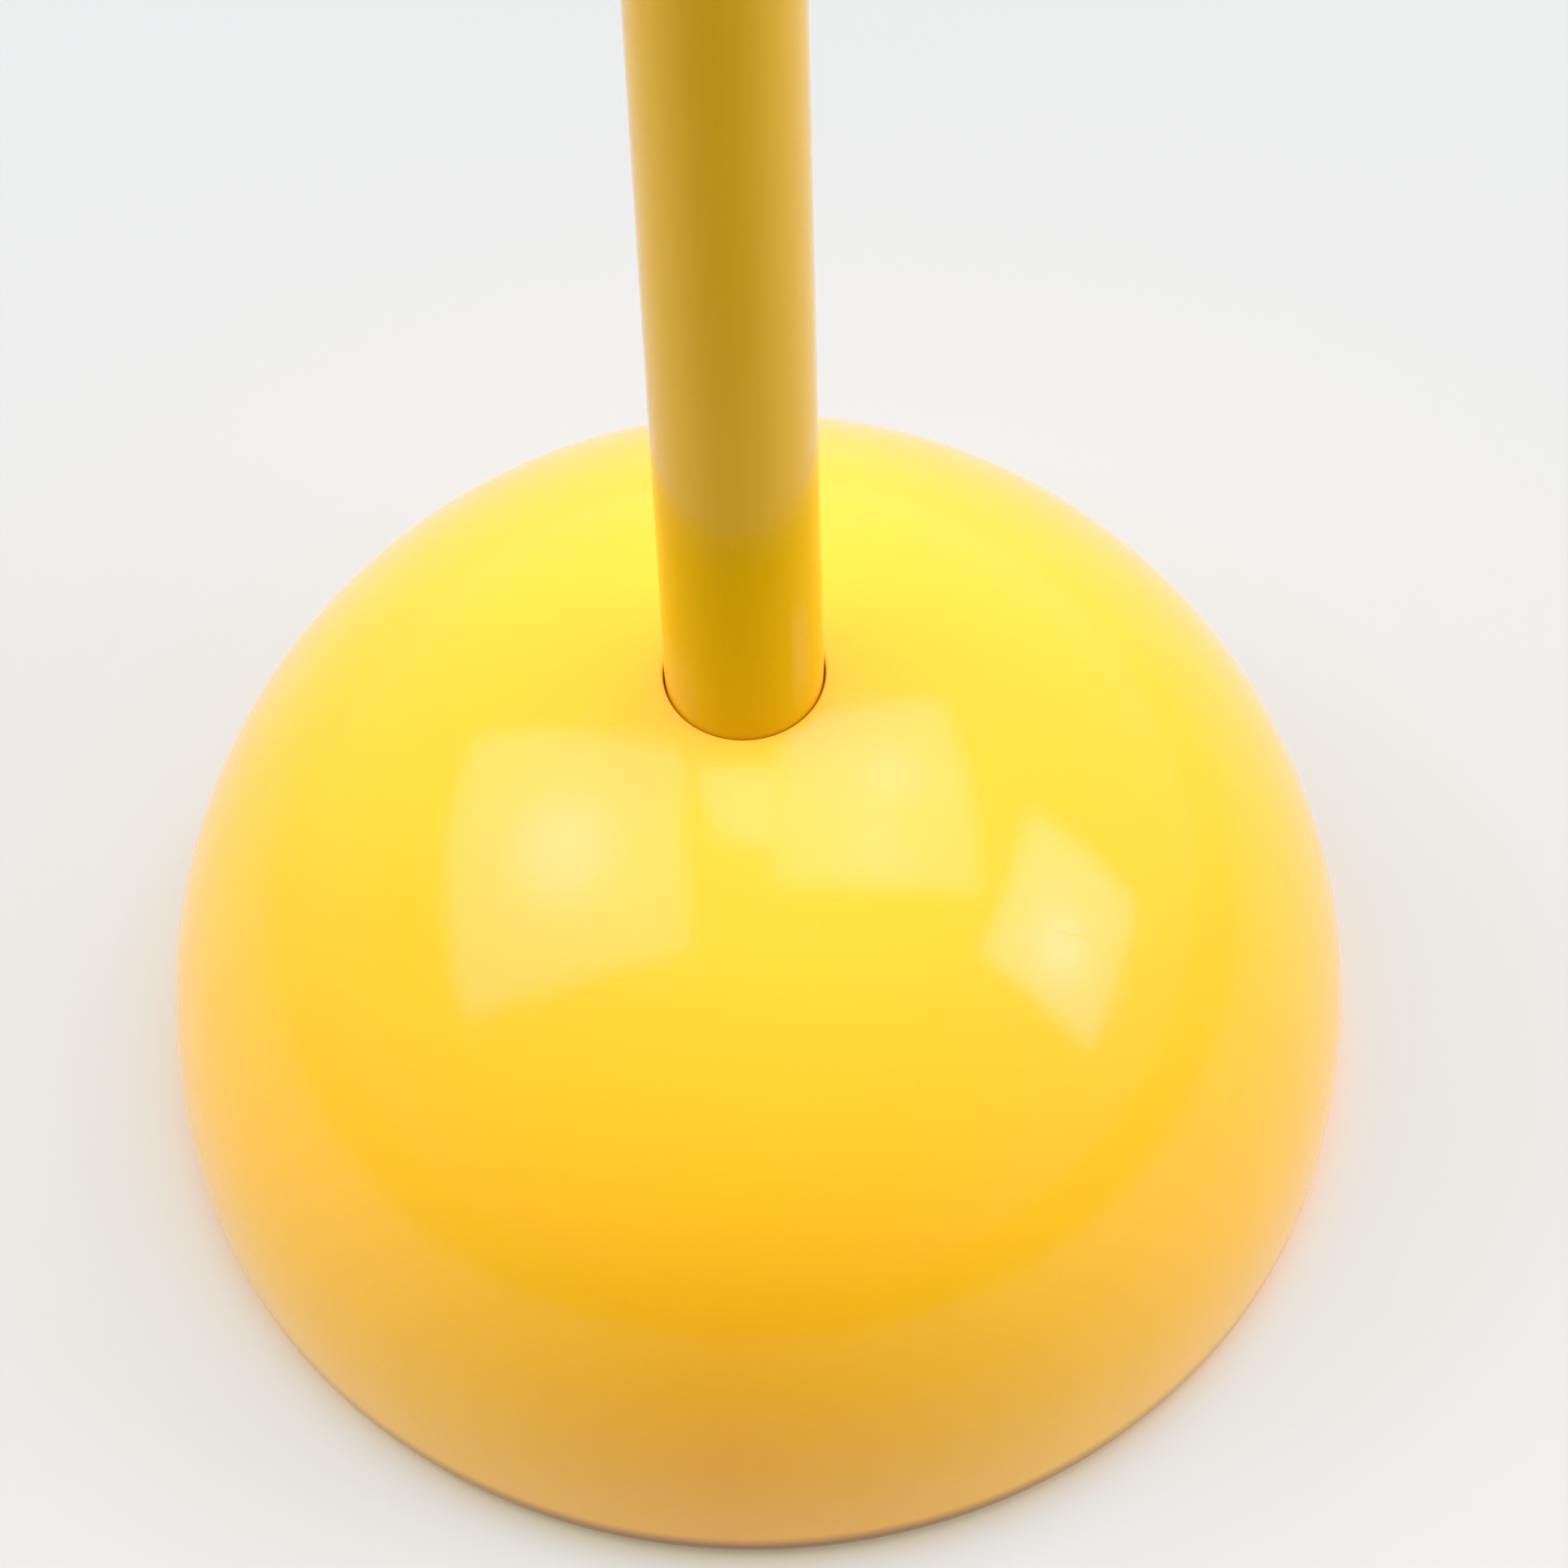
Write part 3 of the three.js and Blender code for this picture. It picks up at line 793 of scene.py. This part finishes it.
# far from the base the painted glow is a little weaker towards +y and stronger towards -y
FAR_LEAN = (-0.067, -0.054, -0.040)
paper = Nodes("floor_paper")
paper.link(
    paper.mix(paper.ramp(paper.noise(3.0, 3.0), 0.3, 0.7), (FLOOR, FLOOR, FLOOR, 1), (FLOOR * 0.99, FLOOR * 0.99, FLOOR * 0.99, 1)),
    paper.shader.inputs["Base Color"],
)
away = paper.add("ShaderNodeVectorMath", operation="LENGTH")
paper.link(paper.coord.outputs["Object"], away.inputs[0])
away = away.outputs["Value"]
way = paper.add("ShaderNodeVectorMath", operation="NORMALIZE")
paper.link(paper.coord.outputs["Object"], way.inputs[0])
split = paper.add("ShaderNodeSeparateXYZ")
paper.link(way.outputs["Vector"], split.inputs[0])
past = paper.maths("MAXIMUM", paper.maths("SUBTRACT", away, 0.098), 0.0)
fades = [paper.maths("EXPONENT", paper.maths("MULTIPLY", past, -1.0 / reach)) for reach in HALO_REACH]
far = paper.maths("MULTIPLY", paper.ramp(away, 0.1, 0.2), split.outputs["Y"])
mixed = paper.add("ShaderNodeCombineColor")
for channel in range(3):
    total = paper.maths("ADD", paper.maths("MULTIPLY", far, FAR_LEAN[channel]), FLOOR_GLOW)
    for fade, (strength, lean_x, lean_y) in zip(fades, HALO[channel]):
        lean = paper.maths("ADD", paper.maths("MULTIPLY", split.outputs["X"], lean_x), paper.maths("MULTIPLY", split.outputs["Y"], lean_y))
        total = paper.maths("ADD", total, paper.maths("MULTIPLY", fade, paper.maths("ADD", lean, strength)))
    paper.link(paper.maths("MAXIMUM", total, 0.0), mixed.inputs[channel])
paper.link(mixed.outputs[0], paper.shader.inputs["Emission Color"])
paper.link(paper.ramp(away, *GLOW_FROM), paper.shader.inputs["Emission Strength"])
paper.shader.inputs["Roughness"].default_value = 0.9
paper.shader.inputs["Specular IOR Level"].default_value = 0.1
bm = bmesh.new()
bmesh.ops.create_grid(bm, x_segments=1, y_segments=1, size=40.0)
stage_mesh("floor", bm, paper.material)

# A glowing flag, a painted light and shade, lies round the object a little above the floor. Only light that leaves
# the object downwards sees it: it stands for the set beyond the lit table, dark on the camera's side and bright behind.
FLAG_FROM = 0.105
FLAG_EDGE = (0.31, 0.43)
FLAG_FRONT = 0.6  # how much of it reaches in over the table in front
flag = Nodes("flag")
split = flag.add("ShaderNodeSeparateXYZ")
flag.link(flag.coord.outputs["Object"], split.inputs[0])
length = flag.add("ShaderNodeVectorMath", operation="LENGTH")
flag.link(flag.coord.outputs["Object"], length.inputs[0])
aim = flag.maths("DIVIDE", split.outputs["Y"], length.outputs["Value"])
glow = flag.add("ShaderNodeEmission")
flag.link(flag.ramp(aim, -1.0, 1.0, 0.173, 0.998), glow.inputs["Strength"])
below = flag.add("ShaderNodeNewGeometry")
clear = flag.add("ShaderNodeBsdfTransparent")
one_way = flag.add("ShaderNodeMixShader")
cover = flag.ramp(length.outputs["Value"], *FLAG_EDGE)
front = flag.maths("MULTIPLY", flag.ramp(aim, -0.53, -1.0, 0.0, FLAG_FRONT), flag.ramp(length.outputs["Value"], 0.11, 0.19))
cover = flag.maths("MAXIMUM", cover, front)
flag.link(flag.maths("MAXIMUM", below.outputs["Backfacing"], flag.maths("SUBTRACT", 1.0, cover)), one_way.inputs[0])
flag.link(glow.outputs[0], one_way.inputs[1])
flag.link(clear.outputs[0], one_way.inputs[2])
flag.link(one_way.outputs[0], flag.tree.nodes["Material Output"].inputs["Surface"])
flag.tree.nodes.remove(flag.shader)
bm = bmesh.new()
rings = [
    [bm.verts.new((r * math.cos(2 * math.pi * k / 96), r * math.sin(2 * math.pi * k / 96), 0.001)) for k in range(96)]
    for r in (FLAG_FROM, 30.0)
]
for k in range(96):
    bm.faces.new((rings[0][k], rings[1][k], rings[1][(k + 1) % 96], rings[0][(k + 1) % 96]))
flag_ob = stage_mesh("flag", bm, flag.material)
flag_ob.visible_camera = False
flag_ob.visible_shadow = False
flag_ob.visible_transmission = False


# ------------------------------------------------------------------ lights
def softbox(name, centre, u, v, size, level, *spots):
    """A rectangular soft light with sides along u and v, of radiance level. Each spot is a brighter patch
    on its face: strength, place on the face (0 to 1 both ways), radius of the full patch and of its foot."""
    u, v = Vector(u).normalized(), Vector(v)
    v = (v - u * v.dot(u)).normalized()
    w = u.cross(v)
    flip = w.dot(Vector(centre) - Vector((0, 0, 0.1))) < 0
    if flip:
        u, w = -u, -w
    data = bpy.data.lights.new(name, "AREA")
    data.shape = "RECTANGLE"
    data.size, data.size_y = size
    data.energy = math.pi * size[0] * size[1]
    data.use_nodes = True
    tree = data.node_tree
    emission = next(n for n in tree.nodes if n.type == "EMISSION")
    geo = tree.nodes.new("ShaderNodeNewGeometry")

    def step(value, low, high, out_low, out_high):
        node = tree.nodes.new("ShaderNodeMapRange")
        node.interpolation_type = "SMOOTHSTEP"
        for k, number in zip(("From Min", "From Max", "To Min", "To Max"), (low, high, out_low, out_high)):
            node.inputs[k].default_value = number
        tree.links.new(value, node.inputs["Value"])
        return node

    def maths(op, a, b):
        node = tree.nodes.new("ShaderNodeMath")
        node.operation = op
        for i, x in enumerate((a, b)):
            if isinstance(x, (int, float)):
                node.inputs[i].default_value = x
            else:
                tree.links.new(x, node.inputs[i])
        return node

    out = level
    for k, (strength, at_u, at_v, inner, outer) in enumerate(spots):
        away = tree.nodes.new("ShaderNodeVectorMath")
        away.operation = "DISTANCE"
        away.inputs[1].default_value = (1 - at_u if flip else at_u, at_v, 0)
        tree.links.new(geo.outputs["Parametric"], away.inputs[0])
        spot = step(away.outputs["Value"], inner, outer, 1.0, 0.0)
        bright = maths("MULTIPLY", spot.outputs["Result"], strength)
        bright.name = f"spot_{k}"
        total = maths("ADD", bright.outputs[0], out)
        if k == 0:
            total.name = "level"
        out = total.outputs[0]
    # the cloth fades towards its frame
    split = tree.nodes.new("ShaderNodeSeparateXYZ")
    tree.links.new(geo.outputs["Parametric"], split.inputs[0])
    for axis in ("X", "Y"):
        off = maths("ABSOLUTE", maths("SUBTRACT", split.outputs[axis], 0.5).outputs[0], 0.0)
        out = maths("MULTIPLY", out, step(off.outputs[0], 0.455, 0.5, 1.0, 0.55).outputs["Result"]).outputs[0]
    tree.links.new(out, emission.inputs["Strength"])
    ob = bpy.data.objects.new(name, data)
    ob.matrix_world = Matrix.Translation(Vector(centre)) @ Matrix((u, v, w)).transposed().to_4x4()
    ob.visible_camera = False
    scene.collection.objects.link(ob)
    return ob


softbox(
    "softbox_left", (-0.872, 0.06, 1.474), (0.612, -0.169, 0.772), (-0.018, 0.974, 0.228), (1.481, 1.46), 1.84,
    (0.88, 0.48, 0.5, 0, 0.62), (2.1, 0.45, 0.48, 0.08, 0.28),
)
softbox(
    "softbox_middle", (0.678, 0.361, 1.84), (0.767, 0.146, -0.625), (0.093, 0.938, 0.334), (1.259, 1.424), 2.00,
    (0.74, 0.5, 0.5, 0, 0.62), (1.35, 0.63, 0.5, 0.05, 0.22), (0.88, 0.54, 0.13, 0.06, 0.24), (-0.37, 0.78, 0.26, 0, 0.2),
)
softbox(
    "softbox_right", (1.367, -0.147, 0.759), (0.686, -0.241, -0.686), (0.446, 0.885, 0.135), (0.776, 0.827), 2.63,
    (1.11, 0.4, 0.38, 0, 0.62), (2.23, 0.46, 0.34, 0.08, 0.28), (-0.71, 1, 0.5, 0, 0.3),
)
softbox(
    "softbox_bridge", (-0.06, 0.13, 1.97), (0.99, -0.065, -0.124), (-0.015, 0.831, -0.557), (0.432, 0.613), 2.34,
    (0.40, 0.75, 0.6, 0, 0.5), (-1.21, 0, 0, 0.15, 0.65),
)

world = bpy.data.worlds.new("studio")
scene.world = world
world.use_nodes = True
tree = world.node_tree
background = next(n for n in tree.nodes if n.type == "BACKGROUND")
coord = tree.nodes.new("ShaderNodeTexCoord")
split = tree.nodes.new("ShaderNodeSeparateXYZ")
tree.links.new(coord.outputs["Generated"], split.inputs[0])


def world_maths(op, a, b):
    node = tree.nodes.new("ShaderNodeMath")
    node.operation = op
    for i, x in enumerate((a, b)):
        if isinstance(x, (int, float)):
            node.inputs[i].default_value = x
        else:
            tree.links.new(x, node.inputs[i])
    return node.outputs[0]


# all round, towards the back, overhead, to the right, the back wall, the camera's end of the room
WORLD = (0.81, -0.006, 0.357, 0.124, 0.532, -0.554)
total = world_maths("MULTIPLY", split.outputs["Y"], WORLD[1])
total = world_maths("ADD", total, WORLD[0])
overhead = world_maths("MULTIPLY", split.outputs["Z"], split.outputs["Z"])
total = world_maths("ADD", total, world_maths("MULTIPLY", overhead, WORLD[2]))
total = world_maths("ADD", total, world_maths("MULTIPLY", split.outputs["X"], WORLD[3]))
wall = world_maths("MAXIMUM", split.outputs["Y"], 0.0)
total = world_maths("ADD", total, world_maths("MULTIPLY", wall, WORLD[4]))
end = world_maths("MAXIMUM", world_maths("MULTIPLY", split.outputs["Y"], -1.0), 0.0)
end = world_maths("MULTIPLY", world_maths("MULTIPLY", end, end), WORLD[5])
total = world_maths("ADD", total, end)
total = world_maths("MAXIMUM", total, 0.02)
tree.links.new(total, background.inputs["Strength"])
background.inputs["Color"].default_value = (1.0, 1.0, 1.0, 1)

scene.view_settings.view_transform = "Standard"
scene.view_settings.look = "None"
scene.view_settings.exposure = 0.0
scene.view_settings.gamma = 1.0
